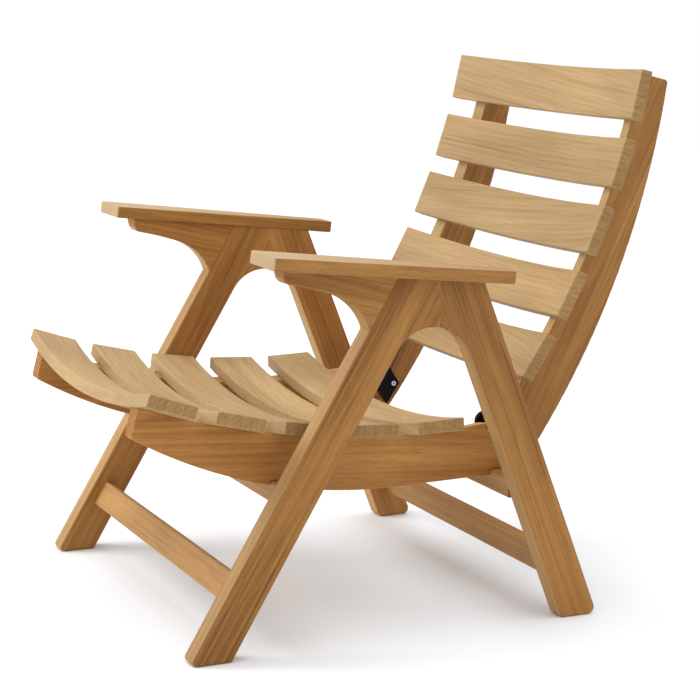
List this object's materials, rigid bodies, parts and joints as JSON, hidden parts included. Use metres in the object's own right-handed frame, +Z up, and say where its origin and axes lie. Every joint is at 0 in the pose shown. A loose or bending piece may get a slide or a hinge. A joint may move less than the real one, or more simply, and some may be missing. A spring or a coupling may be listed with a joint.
{
  "type": "folding deck chair",
  "caption": "Wooden garden deck chair with dished seat and back slats on curved rails, flat arms on A-shaped legs, and a backrest that folds forward on steel hinges.",
  "frame": {"origin": "on the floor under the middle of the chair's overall box", "axes": "+Z up, the chair faces -Y, the sitter's left hand is on +X"},
  "size_m": [0.7522, 0.8183, 0.7742],
  "materials": {
    "leg_teak": "oiled, satin",
    "bracket_teak": "oiled, satin",
    "arm_teak": "oiled, satin",
    "crossbar_teak": "oiled, satin",
    "rail_teak": "oiled, satin",
    "slat_teak": "oiled, satin",
    "hinge_steel": "black, satin",
    "pin_steel": "black, satin",
    "screw_steel": "satin"
  },
  "bodies": {
    "base": {"left_front_leg": "leg_teak", "left_rear_leg": "leg_teak", "left_arm_bracket": "bracket_teak", "left_armrest": "arm_teak", "right_front_leg": "leg_teak", "right_rear_leg": "leg_teak", "right_arm_bracket": "bracket_teak", "right_armrest": "arm_teak", "front_lower_stretcher": "crossbar_teak", "rear_lower_stretcher": "crossbar_teak", "front_cross_rail": "crossbar_teak", "rear_cross_rail": "crossbar_teak", "left_seat_rail": "rail_teak", "left_seat_hinge_leaf": "hinge_steel", "left_hinge_pin": "pin_steel", "left_seat_leaf_screws": "screw_steel", "right_seat_rail": "rail_teak", "right_seat_hinge_leaf": "hinge_steel", "right_hinge_pin": "pin_steel", "right_seat_leaf_screws": "screw_steel", "seat_slat_1": "slat_teak", "seat_slat_2": "slat_teak", "seat_slat_3": "slat_teak", "seat_slat_4": "slat_teak", "seat_slat_5": "slat_teak"},
    "backrest": {"left_back_rail": "rail_teak", "left_back_hinge_leaf": "hinge_steel", "left_back_leaf_screws": "screw_steel", "right_back_rail": "rail_teak", "right_back_hinge_leaf": "hinge_steel", "right_back_leaf_screws": "screw_steel", "back_slat_1": "slat_teak", "back_slat_2": "slat_teak", "back_slat_3": "slat_teak", "back_slat_4": "slat_teak", "back_slat_5": "slat_teak"}
  },
  "joints": [
    {"name": "backrest_fold", "type": "hinge", "parent": "base", "child": "backrest", "pos_m": [0, 0.1335, 0.2715], "axis": [1, 0, 0], "range_deg": [0, 88]}
  ]
}
